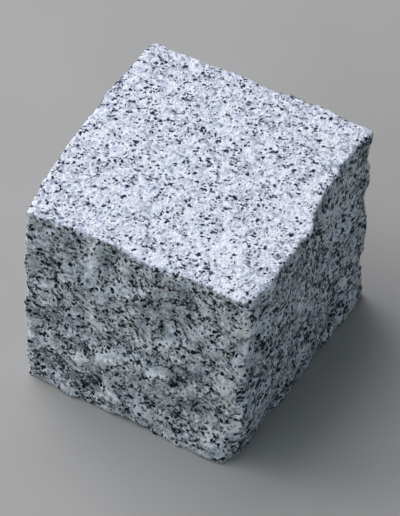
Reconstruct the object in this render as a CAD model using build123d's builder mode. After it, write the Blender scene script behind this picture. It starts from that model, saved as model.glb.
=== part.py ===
from build123d import *
import os

os.makedirs("parts", exist_ok=True)

# A granite paving sett, a hand-split cube of the 9/11 cm class: a flat bed below, a dressed top above,
# and four riven sides that keep the waves, the spall scars and the chipped corners of the splitting.
# X runs across the stone, Y from its front to its back, Z up from the bed. Millimetres.

# Driving dimensions of the stone, corner to corner
stone_width = 100.0
stone_depth = 104.0
stone_height = 98.0

# The most that a riven side wanders from the straight line between its corners
riving_wander = 4.0

# How far the arrises are worn back from their edges
arris_wear = 0.9

# The widest spall scar, from its middle to its rim, and the deepest one
spall_reach = 20.0
spall_depth = 4.0

# A flake's hollow has four leaning facets round a low one, which lies off its middle. Its mouth is this
# many depths outside the surface, clear of the lumps round it, and this many reaches wide there.
mouth_height_share = 3.0
mouth_share = 4.4
low_facet_share = 0.34
low_facet_width_share = 0.24

# How far outside the stone the hammer's line of strike starts
overrun = 10.0

# Each station is a level section through the stone: its height as a share of the stone's height,
# its four corners as shares of half the width and half the depth, and how its four riven sides bow
# out (plus) or in (minus) at five even steps, as shares of the wander.
# Sides and corners run round from the front: a side's first corner has the side's own number.
side_names = ("front", "right", "back", "left")
station_shares = [
    {
        "height": 0.0,
        "corners": [(-0.99, -1.01), (0.90, -1.065), (1.00, 0.945), (-1.01, 0.95)],
        "front": (0.15, 0.42, -0.15, 0.30, 0.22),
        "right": (-0.25, -0.10, 0.02, -0.10, 0.25),
        "back": (0.10, -0.15, -0.22, 0.12, 0.17),
        "left": (0.12, 0.40, 0.55, 0.35, 0.10),
    },
    {
        "height": 0.52,
        "corners": [(-0.99, -0.99), (0.945, -1.005), (0.995, 0.955), (-1.005, 0.985)],
        "front": (-0.10, 0.05, 0.25, -0.05, 0.10),
        "right": (0.25, 0.10, -0.15, -0.05, 0.10),
        "back": (0.25, 0.40, 0.05, -0.20, 0.05),
        "left": (-0.10, 0.05, 0.35, 0.45, 0.25),
    },
    {
        "height": 1.0,
        "corners": [(-0.95, -0.955), (0.98, -0.958), (1.00, 0.98), (-0.985, 1.025)],
        "front": (-0.05, -0.15, 0.30, 0.24, 0.32),
        "right": (0.12, 0.50, 0.00, -0.42, -0.58),
        "back": (-0.10, 0.10, -0.22, 0.30, -0.22),
        "left": (0.20, 0.72, 0.70, 0.75, 0.52),
    },
]

# Spall scars on each riven side, where flakes came away as the stone was split. Each is a shallow
# shell: place across the side and up it, reach and depth. Across is a share of half the side,
# from its left end (-1) to its right end (1) as seen from outside.
side_scar_shares = {
    "front": [
        (0.48, 0.82, 0.75, 0.40),
        (0.50, 0.99, 0.45, 0.34),
        (0.52, 0.34, 0.95, 0.42),
        (-0.62, 0.92, 0.65, 0.32),
        (-0.24, 0.93, 0.60, 0.27),
        (-0.80, 0.65, 0.60, 0.30),
        (-0.70, 0.35, 0.75, 0.32),
        (-0.42, 0.09, 0.75, 0.30),
        (-0.02, 0.62, 0.80, 0.25),
        (0.10, 0.20, 0.70, 0.27),
        (0.74, 0.58, 0.55, 0.22),
        (-0.40, 0.52, 0.60, 0.20),
    ],
    "right": [
        (0.93, 0.86, 0.45, 0.38),
        (0.93, 0.60, 0.48, 0.45),
        (0.93, 0.21, 0.42, 0.40),
        (0.50, 0.86, 0.70, 0.30),
        (0.08, 0.79, 0.70, 0.35),
        (-0.80, 0.75, 0.60, 0.32),
        (-0.40, 0.62, 0.60, 0.22),
        (0.22, 0.55, 0.65, 0.27),
        (0.62, 0.48, 0.65, 0.30),
        (-0.40, 0.40, 0.75, 0.35),
        (-0.75, 0.32, 0.60, 0.27),
        (-0.08, 0.24, 0.60, 0.27),
        (0.30, 0.16, 0.65, 0.35),
        (0.66, 0.20, 0.50, 0.25),
        (0.54, 0.98, 0.42, 0.28),
        (-0.52, 0.03, 0.45, 0.40),
    ],
    "back": [
        (-0.70, 0.80, 0.80, 0.38),
        (-0.15, 0.90, 0.70, 0.30),
        (0.45, 0.84, 0.85, 0.35),
        (0.85, 0.55, 0.60, 0.35),
        (0.25, 0.52, 0.90, 0.40),
        (-0.40, 0.48, 0.75, 0.30),
        (-0.85, 0.30, 0.65, 0.30),
        (-0.25, 0.14, 0.80, 0.38),
        (0.50, 0.18, 0.80, 0.33),
        (-0.44, 0.99, 0.32, 0.26),
    ],
    "left": [
        (-0.75, 0.85, 0.60, 0.28),
        (-0.20, 0.80, 0.90, 0.42),
        (0.40, 0.90, 0.60, 0.25),
        (0.72, 0.66, 0.65, 0.28),
        (0.20, 0.50, 0.85, 0.36),
        (-0.60, 0.48, 0.80, 0.35),
        (-0.25, 0.18, 0.75, 0.32),
        (0.45, 0.20, 0.80, 0.36),
        (-0.85, 0.14, 0.55, 0.25),
    ],
}

# Smaller flakes, which came away afterwards from the surface that the scars had left, about a
# finger's width apart. Each left a hollow with a few flat facets: place across and up, reach and
# depth as above, and how far it is turned, as a share of a quarter turn.
side_flake_shares = {
    "front": [
        (0.34, 0.69, 0.40, 0.26, 0.15),
        (0.40, 0.42, 0.38, 0.28, 0.55),
        (0.58, 0.27, 0.38, 0.24, 0.75),
        (-0.36, 0.15, 0.38, 0.28, 0.40),
        (-0.76, 0.15, 0.36, 0.22, 0.05),
        (-0.72, 0.42, 0.38, 0.24, 0.50),
        (-0.08, 0.46, 0.34, 0.22, 0.25),
        (-0.22, 0.87, 0.34, 0.26, 0.35),
        (-0.55, 0.86, 0.34, 0.24, 0.70),
        (-0.80, 0.70, 0.36, 0.24, 0.85),
        (0.46, 0.86, 0.36, 0.24, 0.10),
        (-0.18, 0.67, 0.38, 0.24, 0.95),
    ],
    "right": [
        (0.08, 0.84, 0.38, 0.30, 0.15),
        (-0.25, 0.76, 0.36, 0.24, 0.55),
        (0.75, 0.74, 0.36, 0.24, 0.75),
        (0.21, 0.64, 0.34, 0.22, 0.40),
        (-0.80, 0.52, 0.36, 0.22, 0.05),
        (-0.78, 0.77, 0.38, 0.26, 0.50),
        (0.76, 0.50, 0.36, 0.24, 0.25),
        (-0.04, 0.31, 0.38, 0.26, 0.35),
        (0.46, 0.32, 0.38, 0.28, 0.70),
        (0.36, 0.15, 0.36, 0.22, 0.85),
        (-0.58, 0.48, 0.38, 0.24, 0.10),
        (0.50, 0.70, 0.36, 0.24, 0.95),
        (-0.40, 0.15, 0.38, 0.22, 0.60),
    ],
    "back": [
        (0.50, 0.84, 0.38, 0.28, 0.15),
        (0.30, 0.42, 0.40, 0.28, 0.55),
        (-0.76, 0.20, 0.38, 0.26, 0.75),
        (-0.82, 0.68, 0.38, 0.26, 0.40),
        (-0.14, 0.22, 0.36, 0.24, 0.05),
        (0.08, 0.82, 0.36, 0.22, 0.50),
        (0.70, 0.66, 0.38, 0.24, 0.25),
        (-0.30, 0.66, 0.36, 0.24, 0.70),
        (0.62, 0.16, 0.38, 0.24, 0.85),
    ],
    "left": [
        (0.68, 0.15, 0.40, 0.28, 0.95),
        (0.24, 0.17, 0.38, 0.24, 0.60),
        (0.74, 0.85, 0.36, 0.26, 0.15),
        (-0.80, 0.20, 0.38, 0.24, 0.55),
        (0.08, 0.30, 0.34, 0.20, 0.75),
        (-0.72, 0.42, 0.38, 0.26, 0.40),
        (-0.38, 0.66, 0.38, 0.24, 0.05),
        (0.06, 0.76, 0.36, 0.24, 0.50),
        (0.76, 0.48, 0.36, 0.24, 0.25),
        (-0.76, 0.74, 0.36, 0.22, 0.35),
    ],
}

# Chips on the upright arrises: the corner's number, height, reach and depth
arris_chip_shares = [
    (0, 0.57, 0.40, 0.18),
    (0, 0.30, 0.45, 0.22),
    (1, 0.08, 1.05, 1.08),
    (1, 0.41, 0.60, 0.40),
    (1, 0.80, 0.45, 0.45),
    (1, 1.00, 0.24, 0.22),
    (2, 0.99, 0.16, 0.08),
    (3, 1.00, 0.30, 0.28),
    (3, 0.62, 0.55, 0.40),
    (3, 0.22, 0.50, 0.45),
]

side_outward = [Vector(0, -1, 0), Vector(1, 0, 0), Vector(0, 1, 0), Vector(-1, 0, 0)]


def corner_points(corner_shares):
    """The four corners of a level section, in its own plane."""
    return [
        Vector(x_share * stone_width / 2, y_share * stone_depth / 2)
        for x_share, y_share in corner_shares
    ]


def riven_line(start, end, outward, bow_shares):
    """Points along one riven side of a level section, from corner to corner."""
    steps = len(bow_shares) + 1
    bows = [0, *bow_shares, 0]
    return [
        start + (end - start) * (step / steps) + outward * (bow * riving_wander)
        for step, bow in enumerate(bows)
    ]


def corner_at(number, height_share):
    """The place of an upright arris at one height, between the stations below and above it."""
    for low, high in zip(station_shares, station_shares[1:]):
        if height_share <= high["height"]:
            break
    way = (height_share - low["height"]) / (high["height"] - low["height"])
    start = corner_points(low["corners"])[number]
    end = corner_points(high["corners"])[number]
    place = start + (end - start) * way
    return Vector(place.X, place.Y, height_share * stone_height)


def struck_place(stone_shape, aim, outward):
    """Where a blow from outside, along the line through the aim, first meets the stone."""
    start = aim + outward * (stone_width + stone_depth + overrun)
    hits = stone_shape.find_intersection_points(Axis(start, -outward))
    return min((point for point, _ in hits), key=lambda point: (point - start).length)


def shell_ball(place, outward, reach, depth):
    """Centre and radius of the ball that leaves a shallow shell of this reach and depth."""
    radius = (reach**2 + depth**2) / (2 * depth)
    return place + outward * (radius - depth), radius


def flake_plane(place, outward, turn_share):
    """A plane at the surface, its Y into the stone, turned about the line of strike."""
    strike = Axis(Vector(0, 0, 0), outward)
    up = Vector(0, 0, 1).rotate(strike, turn_share * 90)
    return Plane(origin=place, x_dir=up.cross(outward), z_dir=up)


# The split blank: one smooth skin through the level sections, with worn arrises
with BuildPart() as stone:
    for station in station_shares:
        corners = corner_points(station["corners"])
        with BuildSketch(Plane.XY.offset(station["height"] * stone_height)):
            with BuildLine():
                for number, name in enumerate(side_names):
                    end = corners[(number + 1) % len(corners)]
                    Spline(*riven_line(corners[number], end, side_outward[number], station[name]))
            make_face()
    loft()
    chamfer(stone.edges(), arris_wear)
    blank = stone.part

    # The spall scars of the four sides, each struck square to its side
    for number, name in enumerate(side_names):
        outward = side_outward[number]
        along = Vector(0, 0, 1).cross(outward)
        half_side = (stone_width if along.Y == 0 else stone_depth) / 2
        for across_share, height_share, reach_share, depth_share in side_scar_shares[name]:
            aim = along * (across_share * half_side) + Vector(0, 0, height_share * stone_height)
            place = struck_place(blank, aim, outward)
            centre, radius = shell_ball(
                place, outward, reach_share * spall_reach, depth_share * spall_depth
            )
            with Locations(centre):
                Sphere(radius, mode=Mode.SUBTRACT)

    # The smaller flakes, struck in the same way
    scarred = stone.part
    for number, name in enumerate(side_names):
        outward = side_outward[number]
        along = Vector(0, 0, 1).cross(outward)
        half_side = (stone_width if along.Y == 0 else stone_depth) / 2
        for across_share, height_share, reach_share, depth_share, turn_share in side_flake_shares[name]:
            aim = along * (across_share * half_side) + Vector(0, 0, height_share * stone_height)
            place = struck_place(scarred, aim, outward)
            depth = depth_share * spall_depth
            height = depth * (1 + mouth_height_share)
            mouth = reach_share * spall_reach * mouth_share
            start = mouth * low_facet_share
            end = mouth * (low_facet_share + low_facet_width_share)
            middle_place = place + outward * (height / 2 - depth)
            with Locations(flake_plane(middle_place, outward, turn_share)):
                Wedge(mouth, height, mouth, start, start, end, end, mode=Mode.SUBTRACT)

    # The arris chips, each struck across its corner
    for number, height_share, reach_share, depth_share in arris_chip_shares:
        outward = (side_outward[number] + side_outward[number - 1]).normalized()
        place = struck_place(blank, corner_at(number, height_share), outward)
        centre, radius = shell_ball(
            place, outward, reach_share * spall_reach, depth_share * spall_depth
        )
        with Locations(centre):
            Sphere(radius, mode=Mode.SUBTRACT)

# The origin sits on the bed, under the middle of the finished stone
middle = stone.part.bounding_box().center()
with BuildPart() as granite_sett:
    add(stone.part.moved(Location((-middle.X, -middle.Y, 0))))

granite_sett.part.label = "granite_sett"
export_step(granite_sett.part, "parts/granite_sett.step")
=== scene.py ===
import math

import bmesh
import bpy
from mathutils import Matrix, Vector, noise


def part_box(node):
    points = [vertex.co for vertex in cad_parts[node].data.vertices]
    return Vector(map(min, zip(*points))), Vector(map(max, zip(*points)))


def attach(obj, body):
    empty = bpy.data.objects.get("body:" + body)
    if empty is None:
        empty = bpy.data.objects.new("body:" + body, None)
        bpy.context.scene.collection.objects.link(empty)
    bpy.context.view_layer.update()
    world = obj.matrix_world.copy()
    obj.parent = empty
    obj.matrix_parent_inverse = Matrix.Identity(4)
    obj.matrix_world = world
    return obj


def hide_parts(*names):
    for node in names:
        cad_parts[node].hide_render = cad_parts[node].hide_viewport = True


# A granite paving sett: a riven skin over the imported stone, one granite finish, a pale floor and soft light.
# Lengths are in metres, with MM for the small ones.

MM = 0.001

# Photograph's frame, and the camera's focal length in its pixels
FRAME_HEIGHT_PX = 516
FOCAL_PX = 3000
SENSOR = 36.0

# Camera round the stone's middle, degrees and metres, and how far its aim lies right of and above that middle
CAMERA_AZIMUTH = 27.855
CAMERA_ELEVATION = 49.763
CAMERA_ROLL = 0.455
CAMERA_DISTANCE = 1.1805
AIM_HEIGHT = 0.049
AIM_RIGHT = 1.50 * MM
AIM_UP = -1.23 * MM

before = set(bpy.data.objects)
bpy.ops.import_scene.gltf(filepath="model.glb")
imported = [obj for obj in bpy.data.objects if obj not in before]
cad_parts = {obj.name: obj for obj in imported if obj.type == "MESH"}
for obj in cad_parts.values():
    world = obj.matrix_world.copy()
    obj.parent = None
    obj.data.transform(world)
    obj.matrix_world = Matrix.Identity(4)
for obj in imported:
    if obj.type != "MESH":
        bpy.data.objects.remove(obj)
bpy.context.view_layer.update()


# Camera, floor and light

def compass(azimuth, elevation):
    """Unit vector from the stone towards a place at this azimuth and elevation in degrees."""
    a, e = math.radians(azimuth), math.radians(elevation)
    return Vector((math.sin(a) * math.cos(e), -math.cos(a) * math.cos(e), math.sin(e)))


def photo_camera():
    """The camera at the photograph's viewing angle."""
    camera_data = bpy.data.cameras.new("photo_camera")
    camera_data.sensor_width = SENSOR
    camera_data.lens = FOCAL_PX / FRAME_HEIGHT_PX * SENSOR
    camera_data.clip_end = 50
    camera = bpy.data.objects.new("photo_camera", camera_data)
    bpy.context.scene.collection.objects.link(camera)

    back = compass(CAMERA_AZIMUTH, CAMERA_ELEVATION)
    facing = (-back).to_track_quat("-Z", "Y").to_matrix()
    facing = facing @ Matrix.Rotation(math.radians(CAMERA_ROLL), 3, "Z")
    right, up = facing.col[0], facing.col[1]
    aim = Vector((0, 0, AIM_HEIGHT)) + right * AIM_RIGHT + up * AIM_UP
    camera.matrix_world = Matrix.Translation(aim + back * CAMERA_DISTANCE) @ facing.to_4x4()
    bpy.context.scene.camera = camera


def soft_lamp(name, azimuth, elevation, distance, size, power, colour):
    """A square area lamp that looks at the stone."""
    lamp_data = bpy.data.lights.new(name, "AREA")
    lamp_data.shape = "SQUARE"
    lamp_data.size = size
    lamp_data.energy = power
    lamp_data.color = colour
    lamp = bpy.data.objects.new(name, lamp_data)
    bpy.context.scene.collection.objects.link(lamp)
    way = compass(azimuth, elevation)
    lamp.location = Vector((0, 0, AIM_HEIGHT)) + way * distance
    lamp.rotation_mode = "QUATERNION"
    lamp.rotation_quaternion = (-way).to_track_quat("-Z", "Y")


def node(tree, kind, inputs=None, **settings):
    """Adds a shader node, sets its properties, and fills its sockets with values or links."""
    made = tree.nodes.new(kind)
    for name, value in settings.items():
        setattr(made, name, value)
    for name, value in (inputs or {}).items():
        if isinstance(value, bpy.types.NodeSocket):
            tree.links.new(value, made.inputs[name])
        else:
            made.inputs[name].default_value = value
    return made


def studio_air(sky_strength, sky_colour, seen_colour):
    """Even light from all round, and a plain pale backdrop where the camera looks past the floor."""
    world = bpy.data.worlds.new("studio_air")
    bpy.context.scene.world = world
    world.use_nodes = True
    tree = world.node_tree
    tree.nodes.clear()
    path = node(tree, "ShaderNodeLightPath")
    seen = node(tree, "ShaderNodeMath", {0: path.outputs["Is Camera Ray"], 1: path.outputs["Is Glossy Ray"]},
                operation="MAXIMUM")
    seen = node(tree, "ShaderNodeMath", {0: seen.outputs[0], 1: path.outputs["Is Transmission Ray"]},
                operation="MAXIMUM")
    light = node(tree, "ShaderNodeBackground", {"Color": sky_colour, "Strength": sky_strength})
    shown = node(tree, "ShaderNodeBackground", {"Color": seen_colour, "Strength": 1.0})
    mixed = node(tree, "ShaderNodeMixShader", {0: seen.outputs[0], 1: light.outputs[0], 2: shown.outputs[0]})
    node(tree, "ShaderNodeOutputWorld", {"Surface": mixed.outputs[0]})


def studio_floor(reach, colour):
    """The plain pale floor that the stone stands on."""
    mesh = bpy.data.meshes.new("studio_floor")
    bm = bmesh.new()
    bmesh.ops.create_grid(bm, x_segments=1, y_segments=1, size=reach)
    bm.to_mesh(mesh)
    bm.free()
    floor = bpy.data.objects.new("studio_floor", mesh)
    bpy.context.scene.collection.objects.link(floor)
    material = bpy.data.materials.new("pale_floor")
    material.use_nodes = True
    tree = material.node_tree
    coat = tree.nodes["Principled BSDF"]
    place = node(tree, "ShaderNodeTexCoord")
    cloud = node(tree, "ShaderNodeTexNoise",
                 {"Vector": place.outputs["Object"], "Scale": 18.0, "Detail": 6.0})
    tint = node(tree, "ShaderNodeMix", {"Factor": cloud.outputs["Fac"]}, data_type="RGBA")
    tint.inputs["A"].default_value = [c * 0.93 for c in colour[:3]] + [1]
    tint.inputs["B"].default_value = [c * 1.07 for c in colour[:3]] + [1]
    tree.links.new(tint.outputs["Result"], coat.inputs["Base Color"])
    coat.inputs["Roughness"].default_value = 0.9
    mesh.materials.append(material)


photo_camera()
soft_lamp("window", azimuth=261, elevation=57, distance=1.6, size=1.6, power=35.6,
          colour=(0.97, 0.97, 1.01))
soft_lamp("front_fill", azimuth=335, elevation=30, distance=1.4, size=1.0, power=4.2,
          colour=(0.88, 1.0, 1.06))
studio_air(sky_strength=0.25, sky_colour=(0.82, 1.0, 1.13, 1), seen_colour=(0.42, 0.42, 0.42, 1))
studio_floor(reach=1.5, colour=(0.316, 0.303, 0.290, 1))


# The stone's skin

SETT = "granite_sett"
VOXEL = 0.86 * MM
MERGE_DISTANCE = 0.001 * MM

# Forms of the relief, by size
UNEVENNESS = 21 * MM
LEDGES = 12 * MM
LUMPS = 7 * MM
CHIPS = 5.5 * MM
CRYSTALS = 2.7 * MM

# Waves in the borders of marks and of facets, by size, and how far the facets' are pushed
MARK_WANDER = 5 * MM
FACET_WANDER = 3 * MM
FACET_PUSH = 0.9 * MM

# Bites out of the arrises and bruises along them, by size
ARRIS_BITES = 6 * MM
ARRIS_BRUISES = 4 * MM

# The dressed top fades in between these depths below the crown
DRESSED_FROM = 6 * MM
DRESSED_FULL = 2 * MM

# The tile of each chart on the UV map, as a share of the stone's longest side
CHART_TILE_SHARE = 1.08

box_low, box_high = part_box(SETT)

# Lumps and hollows left by the riving, and the bruised or mica-rich patches with them, which on the sides are
# also painted light on the lumps and painted shade in the hollows. In millimetres: place across the face and
# up it (on the
# top: across and back), half width, half height, how far it leans to the right for each millimetre up, and how
# far it stands out. Last, from -1 for the richest in mica and darkest painted shade to 1 for the most bruised
# and brightest painted light.
FACE_MARKS = {
    "front": [
        # Lumps and hollows with their patches: bruising and mica, and painted light on the lumps and painted
        # shade in the hollows
        (-19, 85, 5, 13, 0.1, 1.0, 0.7),
        (-26, 88, 5, 14, -0.1, -0.4, -0.5),
        (-12, 88, 4, 14, 0.25, -0.4, -0.7),
        (-4, 88, 6, 14, 0.3, 0.6, 0.3),
        (-40, 69, 6, 8, 0.8, -0.4, -0.4),
        (-39, 57, 6, 6, 0.0, 0.5, 0.5),
        (-19, 52, 5, 6, 0.0, 0.7, 1.0),
        (12, 52, 5, 5, 0.0, 0.6, 1.0),
        (9, 36, 7, 7, 0.2, 0.8, 0.9),
        (-12, 33, 6, 6, 0.0, 0.7, 0.9),
        (-25, 24, 7, 5, 0.5, 0.7, 0.9),
        (-39, 26, 6, 6, 0.0, 0.5, 0.6),
        (10, 78, 7, 5, 0.5, -0.3, -0.7),
        (22, 84, 6, 12, -0.2, -0.4, -0.8),
        (17, 70, 9, 10, 0.0, -0.4, -0.3),
        (31, 72, 9, 12, 0.0, 0.9, 0.4),
        (28, 62, 5, 5, 0.0, -0.3, -0.6),
        (-37, 40, 8, 6, 0.0, -0.3, -0.6),
        (-24, 32, 5, 5, 0.5, -0.3, -0.6),
        (20, 39, 6, 12, 0.3, -0.5, -0.9),
        (28, 46, 6, 6, 0.3, -0.4, -0.7),
        (29, 28, 6, 10, 0.0, -0.4, -0.7),
        (21, 17, 5, 8, 0.0, -0.3, -0.6),
        (-4, 46, 4, 12, -0.6, -0.2, -0.4),
        (-19, 13, 4, 11, 0.5, -0.4, -0.7),
        (-38, 15, 9, 6, 0.2, -0.4, -0.5),
        (-10, 12, 5, 9, -0.5, 0.6, 0.5),
        (3, 9, 9, 6, 0.3, 0.7, 0.5),
        (39, 50, 7, 14, 0.1, 0.6, 0.3),
        (34, 12, 6, 6, 0.0, 0.5, 0.4),
        # Along the front right arris, with bruising, painted light and painted shade
        (47, 86, 6, 15, 0.1, 0.3, 1.0),
        (46, 64, 6, 13, 0.0, 0.2, 0.2),
        (40, 94, 4, 5, 0.0, -0.3, -1.0),
        (42, 44, 6, 9, 0.0, 0.3, 0.7),
        (47, 73, 6, 7, 0.0, -0.9, 0.0),
        (47, 57, 5, 7, 0.0, 0.7, 0.3),
        (47, 40, 6, 8, 0.0, -0.8, -0.2),
        (44, 25, 5, 11, 0.4, 0.5, 1.2),
    ],
    "right": [
        # Along the front right arris, with bruising, painted light and painted shade
        (-45, 80, 5, 7, 0.0, 1.2, 1.0),
        (-46, 6, 6, 8, 0.0, 0.0, -0.7),
        (-48, 66, 5, 7, 0.0, -0.8, 0.0),
        (-48, 46, 5, 8, 0.0, -0.7, -0.2),
        # Nicks in the foot, darkened with painted shade
        (-37, 2, 5, 5, 0.0, -1.0, -0.5),
        (-22, 1, 7, 6, 0.0, -1.1, -0.5),
        (-6, 2, 5, 4, 0.0, -0.8, -0.3),
        (12, 1, 6, 5, 0.0, -1.0, -0.5),
        # The paler upper part at the back, and darker patches just under the crown
        (30, 74, 24, 26, 0.0, 0.0, 0.55),
        (25, 92, 5, 4, 0.0, 0.0, -1.1),
        (13, 91, 4, 5, 0.0, 0.0, -1.0),
        (5, 90, 5, 5, 0.0, 0.0, -0.9),
        (-30, 90, 5, 4, 0.0, 0.0, -0.8),
        # Waves of the crown's edge
        (35, 96, 7, 9, 0.0, 0.9, 0.2),
        (24, 96, 6, 8, 0.0, 0.9, 0.3),
        (14, 96, 6, 10, 0.0, -1.2, 0.0),
        (6, 96, 6, 8, 0.0, -1.0, -0.2),
        (-5, 96, 7, 10, 0.0, 1.2, 0.6),
        (-14, 96, 5, 9, 0.0, -1.2, 0.0),
        (-23, 96, 6, 8, 0.0, -0.9, 0.2),
        (-35, 96, 7, 9, 0.0, 1.0, 0.6),
        # Lumps and hollows with their patches: bruising and mica, and painted light on the lumps and painted
        # shade in the hollows
        (-5, 54, 5, 10, 0.0, 0.7, 0.8),
        (-23, 66, 4, 5, 0.0, 0.6, 0.7),
        (-33, 73, 5, 5, 0.0, 0.6, 0.6),
        (31, 26, 5, 7, 0.0, 0.6, 0.7),
        (16, 81, 5, 9, 0.0, 0.7, 0.6),
        (37, 57, 6, 4, 0.0, 0.6, 0.6),
        (4, 81, 11, 4, 0.0, -0.5, -0.9),
        (-13, 75, 5, 6, 0.0, -0.3, -0.6),
        (40, 73, 7, 5, -0.8, -0.3, -0.7),
        (11, 62, 4, 9, -0.2, -0.3, -0.6),
        (-45, 52, 5, 5, 0.0, -0.2, -0.6),
        (-43, 76, 5, 8, 0.0, -0.2, -0.6),
        (41, 49, 4, 5, 0.0, -0.3, -0.7),
        (-1, 30, 12, 4, -0.5, -0.3, -0.6),
        (24, 31, 6, 6, -0.5, -0.3, -0.6),
        (19, 19, 9, 5, 0.0, -0.3, -0.6),
    ],
    "top": [
        # Wide pale and grey patches
        (28, -31, 12, 11, 0.0, 0.1, 1.0),
        (-8, 42, 42, 15, 0.0, 0.0, -0.25),
        (40, 2, 9, 26, 0.0, 0.0, 0.2),
        (38, -44, 7, 5, 0.0, 0.0, 0.8),
        # Clusters of mica
        (-38, 46, 5, 5, -0.5, -0.1, -0.9),
        (-25, 9, 4, 7, 0.0, -0.1, -0.9),
        (1, 7, 4, 4, 0.0, -0.1, -0.7),
        (2, -3, 5, 5, 0.0, -0.1, -0.9),
        (-3, -18, 6, 6, 0.3, -0.1, -0.5),
        (38, 18, 4, 4, 0.0, -0.1, -0.9),
        (38, -28, 4, 6, 0.0, -0.1, -0.9),
        (-49, 24, 5, 4, 0.0, -0.1, -0.8),
        (1, -38, 6, 5, 0.0, -0.1, -0.5),
    ],
}

# Flat breaks at the front right corner, in millimetres: a point on each, the way it faces, and the
# heights where it fades in from below and out above
CORNER_BREAKS = [
    ((46.5, -49.7, 30), (0.34, -0.94, 0.0), (5, 14, 46, 58)),
    ((45.2, -40.7, 0), (0.914, -0.358, -0.19), (-2, -1, 20, 24)),
]


def smooth_step(low, high, value):
    """0 below low, 1 above high, and a smooth rise between."""
    way = min(max((value - low) / (high - low), 0), 1)
    return way * way * (3 - 2 * way)


def skin_mesh():
    """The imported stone's shape as an even quad skin, fine enough to carry the relief."""
    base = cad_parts[SETT].data.copy()
    bm = bmesh.new()
    bm.from_mesh(base)
    bmesh.ops.remove_doubles(bm, verts=bm.verts, dist=MERGE_DISTANCE)
    bm.to_mesh(base)
    bm.free()
    rough = bpy.data.objects.new("rough_stone", base)
    bpy.context.scene.collection.objects.link(rough)
    remesh = rough.modifiers.new("even_skin", "REMESH")
    remesh.mode = "VOXEL"
    remesh.voxel_size = VOXEL
    soften = rough.modifiers.new("soften", "SMOOTH")
    soften.factor = 0.5
    soften.iterations = 2
    depsgraph = bpy.context.evaluated_depsgraph_get()
    mesh = bpy.data.meshes.new_from_object(rough.evaluated_get(depsgraph))
    bpy.data.objects.remove(rough)
    return mesh


def riven_facets(place, size):
    """Height of a face broken into small planes of one size, each with its own tilt and step."""
    spot = place / size
    _, seeds = noise.voronoi(spot)
    tilt = noise.cell_vector(seeds[0] * 7.31)
    step = noise.cell(seeds[0] * 5.17)
    return tilt.dot(spot - seeds[0]) * 0.8 + step * 0.5


def marks_at(marks, across, level):
    """Rise in millimetres, and bruising with painted light and shade, from a face's marks at one place on it.
    """
    rise = bruise_and_painted_light = 0
    # The last column, pale, holds bruising and mica, and painted light on lumps and painted shade in hollows.
    for mark_across, mark_level, half_width, half_height, lean, stands, pale in marks:
        up = (level - mark_level) / half_height
        if abs(up) > 1:
            continue
        aside = (across - mark_across - lean * (level - mark_level)) / half_width
        reach = 1 - up * up - aside * aside
        if reach > 0:
            rise += stands * reach * reach
            bruise_and_painted_light += pale * reach * reach
    return rise, bruise_and_painted_light


def face_shares(normal):
    """How far a place belongs to the front, the right side and the top."""
    return {
        "front": smooth_step(0.45, 0.75, -normal.y),
        "right": smooth_step(0.45, 0.75, normal.x),
        "top": smooth_step(0.45, 0.75, normal.z),
    }


def relief(place, normal, dressed, cross_grain, arris):
    """How far the surface stands out at a place, and its bruising there, which also holds painted light on
    lumps and painted shade in hollows.
    """
    wander = noise.noise_vector(place / MARK_WANDER) * 1.6
    x, y, z = (place / MM + wander)
    shares = face_shares(normal)
    rise = bruise_and_painted_light = 0
    for face, across, level in (("front", x, z), ("right", y, z), ("top", x, y)):
        if shares[face] > 0:
            face_rise, face_bruise_and_painted_light = marks_at(FACE_MARKS[face], across, level)
            rise += face_rise * shares[face]
            bruise_and_painted_light += face_bruise_and_painted_light * shares[face]

    broad = noise.fractal(place / UNEVENNESS, 0.9, 2.1, 3)
    middle = noise.fractal(place / LUMPS + Vector((9, 4, 2)), 0.8, 2.1, 3)
    warped = place + noise.noise_vector(place / FACET_WANDER) * FACET_PUSH
    ledges = riven_facets(warped, LEDGES)
    chips = riven_facets(warped + Vector((0.3, 0.1, 0.7)), CHIPS)
    crystals = riven_facets(warped, CRYSTALS)
    fine = 0.65 * chips + 0.45 * crystals
    riven = 0.40 * broad + 0.35 * middle + 0.60 * ledges + fine * (1 - 0.55 * cross_grain)
    riven *= 1 - 0.15 * cross_grain
    top = 0.10 * broad + 0.16 * middle + 0.24 * crystals
    rise += riven * (1 - dressed) + top * dressed

    # Arrises crumble here and there, and bruise nearly all along
    bite = max(noise.noise(place / ARRIS_BITES + Vector((3, 8, 5))) - 0.05, 0)
    rise += (0.25 - 2.4 * bite) * arris
    bruise_and_painted_light += arris * (0.30 + 1.0 * noise.noise(place / ARRIS_BRUISES))
    return rise * MM, min(max(bruise_and_painted_light, -1), 1)


def broken_off(place):
    """The place itself, or behind the flat breaks of the corners where it stands outside them."""
    for point, faces, (foot, low, high, head) in CORNER_BREAKS:
        spot = place / MM
        outside = (spot - Vector(point)).dot(Vector(faces)) + 0.8 * noise.noise(spot / 4)
        here = smooth_step(foot, low, spot.z) * (1 - smooth_step(high, head, spot.z))
        if outside > 0:
            place = place - Vector(faces) * (outside * here * MM)
    return place


def spread(bm, values, rounds):
    """Values at the verts, each round averaged with those of the neighbours."""
    for _ in range(rounds):
        values = [
            (values[vert.index] + sum(values[edge.other_vert(vert).index] for edge in vert.link_edges))
            / (1 + len(vert.link_edges))
            for vert in bm.verts
        ]
    return values


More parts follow.
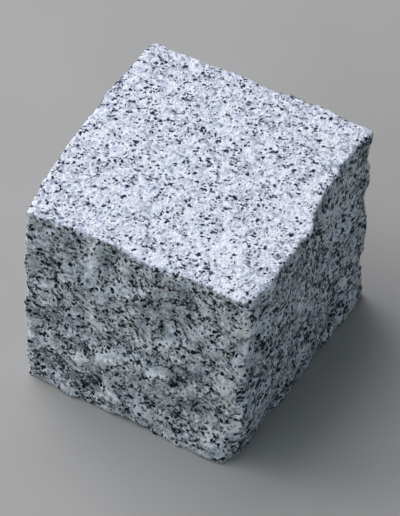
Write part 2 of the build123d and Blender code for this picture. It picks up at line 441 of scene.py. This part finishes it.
def wrap(bm):
    """Six flat charts in two rows, one for each way out of the stone, all at one scale."""
    layer = bm.loops.layers.uv.new("OFBake")
    middle = (box_low + box_high) / 2
    half = (box_high - box_low) / 2
    tile = 2 * CHART_TILE_SHARE * max(half)
    sides = [
        (Vector((1, 0, 0)), Vector((0, 1, 0)), Vector((0, 0, 1))),
        (Vector((-1, 0, 0)), Vector((0, -1, 0)), Vector((0, 0, 1))),
        (Vector((0, -1, 0)), Vector((1, 0, 0)), Vector((0, 0, 1))),
        (Vector((0, 1, 0)), Vector((-1, 0, 0)), Vector((0, 0, 1))),
        (Vector((0, 0, 1)), Vector((1, 0, 0)), Vector((0, 1, 0))),
        (Vector((0, 0, -1)), Vector((1, 0, 0)), Vector((0, -1, 0))),
    ]
    for face in bm.faces:
        place = face.calc_center_median() - middle
        way = Vector(p / h for p, h in zip(place, half)) + face.normal * 0.5
        chart = max(range(len(sides)), key=lambda number: way.dot(sides[number][0]))
        _, right, up = sides[chart]
        column, row = chart % 3, chart // 3
        for loop in face.loops:
            spot = loop.vert.co - middle
            loop[layer].uv = (
                (column + 0.5 + spot.dot(right) / tile) / 3,
                (row + 0.5) / 2 + spot.dot(up) / tile / 3,
            )


def granite_skin():
    """The visible stone."""
    mesh = skin_mesh()
    bm = bmesh.new()
    bm.from_mesh(mesh)
    bm.normal_update()
    bm.verts.ensure_lookup_table()
    dressed_layer = bm.verts.layers.float.new("dressed")
    bruised_and_painted_light_layer = bm.verts.layers.float.new("bruised_and_painted_light")
    cross_layer = bm.verts.layers.float.new("cross_grain")
    arrises = [smooth_step(0.10, 0.24, 1 - max(abs(c) for c in vert.normal)) for vert in bm.verts]
    arrises = spread(bm, arrises, 3)
    moves = []
    for vert in bm.verts:
        up = vert.normal.z
        crown = smooth_step(box_high.z - DRESSED_FROM, box_high.z - DRESSED_FULL, vert.co.z)
        dressed = smooth_step(0.40, 0.80, up) * crown
        cross_grain = smooth_step(0.45, 0.75, abs(vert.normal.x))
        rise, bruise_and_painted_light = relief(vert.co, vert.normal, dressed, cross_grain, arrises[vert.index])
        bed = smooth_step(0.6, 0.95, -up)
        vert[dressed_layer] = dressed
        vert[bruised_and_painted_light_layer] = bruise_and_painted_light
        vert[cross_layer] = cross_grain
        moves.append(vert.normal * rise * (1 - bed))
    for vert, move in zip(bm.verts, moves):
        vert.co = broken_off(vert.co + move)
        vert.co.z = max(vert.co.z, 0)
    wrap(bm)
    for face in bm.faces:
        face.smooth = True
    bm.to_mesh(mesh)
    bm.free()
    mesh.name = "granite_skin"
    skin = bpy.data.objects.new("granite_skin", mesh)
    bpy.context.scene.collection.objects.link(skin)
    return skin


# The granite's colours from its darkest to its palest crystals, by tone
RIVEN_TONES = [
    (0.16, (0.11, 0.125, 0.135)),
    (0.38, (0.33, 0.36, 0.385)),
    (0.54, (0.53, 0.56, 0.60)),
    (0.70, (0.74, 0.765, 0.82)),
    (0.86, (0.90, 0.91, 0.95)),
]
TOP_TONES = [
    (0.16, (0.325, 0.34, 0.43)),
    (0.32, (0.525, 0.545, 0.66)),
    (0.46, (0.74, 0.755, 0.88)),
    (0.66, (0.94, 0.942, 1.0)),
]
CRUSHED_AND_HIGHLIGHT_WHITE = (0.92, 0.915, 0.90, 1)
RIVEN_MICA = (0.008, 0.011, 0.015, 1)
TOP_MICA = (0.02, 0.026, 0.06, 1)

# Layers of mica plates: how each is turned, in radians, and its plates' size in millimetres
MICA_LAYERS = [
    ((0.3, 0.2, 0.9), (2.9, 2.2, 1.7)),
    ((1.3, 0.5, 0.1), (2.4, 1.8, 1.5)),
    ((0.8, 1.2, 2.1), (2.1, 1.6, 1.4)),
    ((2.2, 0.9, 1.4), (1.3, 1.1, 1.0)),
    ((1.1, 1.9, 2.7), (1.7, 1.1, 1.0)),
    ((0.5, 2.4, 0.4), (2.4, 1.6, 1.4)),
]


def granite_finish():
    """Light grey granite: pale feldspar, grey quartz and black mica, whitened where the top was dressed, with
    painted light and shade from the marks, painted glints among its pale crystal flecks and a painted skylight
    tint on the sides facing along x.
    """
    material = bpy.data.materials.new("granite")
    material.use_nodes = True
    tree = material.node_tree
    tree.nodes.clear()
    place = node(tree, "ShaderNodeTexCoord")
    grid = node(tree, "ShaderNodeVectorMath", {0: place.outputs["Object"], "Scale": 1000.0},
                operation="SCALE").outputs[0]
    dressed = node(tree, "ShaderNodeAttribute", attribute_name="dressed").outputs["Fac"]
    bruised_and_painted_light = node(tree, "ShaderNodeAttribute", attribute_name="bruised_and_painted_light").outputs["Fac"]
    cross_grain = node(tree, "ShaderNodeAttribute", attribute_name="cross_grain").outputs["Fac"]

    def sum_of(first, share, second=0.0):
        """first * share + second"""
        return node(tree, "ShaderNodeMath", {0: first, 1: share, 2: second},
                    operation="MULTIPLY_ADD").outputs[0]

    def added_up(start, *parts):
        """The start plus each value times its share."""
        total = start
        for value, part_share in parts:
            total = sum_of(value, part_share, total)
        return total

    def joined(operation, first, second):
        return node(tree, "ShaderNodeMath", {0: first, 1: second}, operation=operation).outputs[0]

    def ranged(value, low, high, to_low=0.0, to_high=1.0, kind="SMOOTHSTEP"):
        return node(tree, "ShaderNodeMapRange",
                    {"Value": value, "From Min": low, "From Max": high, "To Min": to_low, "To Max": to_high},
                    interpolation_type=kind).outputs["Result"]

    def blend(factor, first, second, way="MIX"):
        made = node(tree, "ShaderNodeMix", {"Factor": factor}, data_type="RGBA", blend_type=way)
        for name, value in (("A", first), ("B", second)):
            if isinstance(value, bpy.types.NodeSocket):
                tree.links.new(value, made.inputs[name])
            else:
                made.inputs[name].default_value = value
        return made.outputs["Result"]

    def cloud(scale, detail=2.0, rough=0.5):
        return node(tree, "ShaderNodeTexNoise",
                    {"Vector": grid, "Scale": scale, "Detail": detail, "Roughness": rough}).outputs["Fac"]

    def bent_by(amount, scale, vector):
        """The grid pushed about by a noise, so that borders drawn on it wander."""
        push = node(tree, "ShaderNodeTexNoise", {"Vector": grid, "Scale": scale, "Detail": 2.0})
        push = node(tree, "ShaderNodeVectorMath", {0: push.outputs["Color"], 1: (0.5, 0.5, 0.5)},
                    operation="SUBTRACT")
        return node(tree, "ShaderNodeVectorMath",
                    {0: push.outputs[0], 1: (amount, amount, amount), 2: vector},
                    operation="MULTIPLY_ADD").outputs[0]

    def crystals(vector, scale):
        """Cells of this many to the millimetre, with three random draws for each."""
        cell = node(tree, "ShaderNodeTexVoronoi", {"Vector": vector, "Scale": scale})
        draws = node(tree, "ShaderNodeSeparateColor", {"Color": cell.outputs["Color"]})
        return cell, draws

    def ramp(value, stops):
        made = node(tree, "ShaderNodeValToRGB", {"Fac": value})
        elements = made.color_ramp.elements
        while len(elements) < len(stops):
            elements.new(0.5)
        for element, (position, colour) in zip(elements, stops):
            element.position = position
            element.color = (*colour, 1)
        return made.outputs["Color"]

    bent = bent_by(1.3, 0.45, grid)
    ragged = bent_by(0.75, 1.3, bent)

    # Pale and grey crystals of two sizes, over softer patches
    coarse, coarse_draw = crystals(bent_by(1.2, 1.2, bent), 0.30)
    fine, fine_draw = crystals(ragged, 0.68)
    sugar = ranged(cloud(1.0, 4.0, 0.75), 0.30, 0.70, kind="LINEAR")
    grain = ranged(cloud(0.7, 3.0, 0.65), 0.30, 0.70, kind="LINEAR")
    # Small pale specks of crystal, partly painted glints of cleavage faces
    specks_and_glints = ranged(cloud(1.7, 2.0, 0.6), 0.50, 0.68)
    patch = ranged(cloud(0.12, 3.0, 0.6), 0.32, 0.68, kind="LINEAR")
    crowd = ranged(cloud(0.14, 2.0), 0.34, 0.66, kind="LINEAR")
    smoke = joined("MULTIPLY", ranged(cloud(0.42, 3.0, 0.7), 0.50, 0.66), ranged(crowd, 0.1, 0.9, 0.35, 1.0))
    coarse_shade = coarse_draw.outputs["Red"]
    fine_shade = fine_draw.outputs["Red"]
    # The marks' values make the tone paler or darker: bruising and mica, with painted light on lumps and
    # painted shade in hollows.
    tone = added_up(0.015, (specks_and_glints, 0.24), (bruised_and_painted_light, 0.26), (patch, 0.12), (sugar, 0.36),
                    (fine_shade, 0.31), (coarse_shade, 0.21))

    # Closer tones and brighter specks, partly painted glints, across the grain, and smoky quartz on all sides
    off_middle = joined("MULTIPLY", joined("SUBTRACT", tone, 0.62), cross_grain)
    cross_specks_and_glints = joined("MULTIPLY", specks_and_glints, cross_grain)
    tone = added_up(tone, (off_middle, -0.12), (cross_specks_and_glints, 0.08), (smoke, -0.06))
    top_tone = added_up(-0.16, (bruised_and_painted_light, 0.14), (sugar, 0.50), (grain, 0.36), (fine_shade, 0.36),
                        (coarse_shade, 0.15), (smoke, -0.16))
    riven_stone = ramp(tone, RIVEN_TONES)
    top_stone = ramp(top_tone, TOP_TONES)
    warm = joined("MULTIPLY", ranged(coarse_draw.outputs["Blue"], 0.66, 0.72),
                  ranged(dressed, 0, 1, 0.8, 0.25))
    riven_stone = blend(warm, riven_stone, (1.0, 0.99, 0.95, 1), "MULTIPLY")
    # Whitened crystal where the marks run palest: crushed crystal, and painted light on the lit lumps.
    crushed_and_highlight = joined("MULTIPLY", ranged(sum_of(sugar, 0.7, bruised_and_painted_light), 0.6, 1.5), 0.65)
    riven_stone = blend(crushed_and_highlight, riven_stone, CRUSHED_AND_HIGHLIGHT_WHITE)
    pale = blend(dressed, riven_stone, top_stone)
    tint = blend(ranged(cloud(0.22, 3.0, 0.6), 0.36, 0.64), (1.03, 1.0, 0.97, 1), (0.965, 1.0, 1.025, 1))
    pale = blend(ranged(dressed, 0, 1, 1.0, 0.35), pale, tint, "MULTIPLY")
    blush = blend(ranged(cloud(0.8, 2.0), 0.38, 0.62), (1.025, 0.99, 1.0, 1), (0.975, 1.0, 0.985, 1))
    pale = blend(ranged(dressed, 0, 1, 1.0, 0.5), pale, blush, "MULTIPLY")
    # Bluer colour on the sides facing along x: painted skylight, the blue cast of the shaded right side.
    pale = blend(cross_grain, pale, (0.965, 1.0, 1.045, 1), "MULTIPLY")

    # Mica flakes: thin plates that lie several ways, crowded between the big crystals and in some places
    seams = node(tree, "ShaderNodeTexVoronoi", {"Vector": bent, "Scale": 0.16}, feature="DISTANCE_TO_EDGE")
    seams = ranged(seams.outputs["Distance"], 0.20, 0.02)
    share = sum_of(crowd, 0.13, 0.02)
    share = sum_of(joined("MULTIPLY", seams, ranged(crowd, 0.1, 0.8, 0.3, 1.0)), 0.20, share)
    # More flakes where the marks run darker: mica-rich patches, and painted shade in the hollows; fewer where
    # they run paler.
    share = joined("MULTIPLY", share, ranged(bruised_and_painted_light, -1, 1, 2.0, 0.35, "LINEAR"))
    share = joined("MULTIPLY", share, sum_of(cross_grain, 0.04, sum_of(dressed, -0.25, 1.0)))
    edge = sum_of(cross_grain, -0.07, sum_of(dressed, 0.08, sum_of(sugar, 0.34, -0.16)))
    faintest = sum_of(cross_grain, 0.15, sum_of(dressed, -0.15, 0.45))
    flakes = None
    for turn, size in MICA_LAYERS:
        lie = node(tree, "ShaderNodeMapping", {"Vector": ragged, "Rotation": turn, "Scale": size},
                   vector_type="TEXTURE")
        plate, draw = crystals(lie.outputs[0], 1.0)
        chosen = joined("LESS_THAN", draw.outputs["Red"], share)
        body = ranged(joined("ADD", plate.outputs["Distance"], edge), 0.54, 0.42)
        depth = ranged(draw.outputs["Green"], 0, 0.55, faintest, 1.0, "LINEAR")
        flake = joined("MULTIPLY", joined("MULTIPLY", chosen, body), depth)
        flakes = flake if flakes is None else joined("MAXIMUM", flakes, flake)

    mica = blend(dressed, RIVEN_MICA, TOP_MICA)
    colour = blend(flakes, pale, mica)

    # Fine relief: crystals stand at their own heights, flakes sit a little lower
    sugar_height = joined("MULTIPLY", sugar, sum_of(dressed, 0.6, 0.7))
    heights = added_up(sugar_height, (fine_draw.outputs["Green"], 0.35), (coarse_draw.outputs["Green"], 0.35),
                       (grain, ranged(dressed, 0, 1, 0.5, 3.0)), (flakes, -0.25))
    bump = node(tree, "ShaderNodeBump", {"Height": heights, "Strength": ranged(cross_grain, 0, 1, 0.8, 0.5),
                                         "Distance": 0.4 * MM})
    gloss = sum_of(flakes, -0.12, ranged(fine_draw.outputs["Blue"], 0, 1, 0.55, 0.9, "LINEAR"))
    surface = node(tree, "ShaderNodeBsdfPrincipled",
                   {"Base Color": colour, "Roughness": gloss, "Normal": bump.outputs[0],
                    "Specular IOR Level": ranged(flakes, 0, 1, 0.35, 0.10)})
    node(tree, "ShaderNodeOutputMaterial", {"Surface": surface.outputs[0]})
    return material


skin = granite_skin()
skin.data.materials.clear()
skin.data.materials.append(granite_finish())
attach(skin, "root")
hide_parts(SETT)

bpy.context.scene.view_settings.view_transform = "Standard"
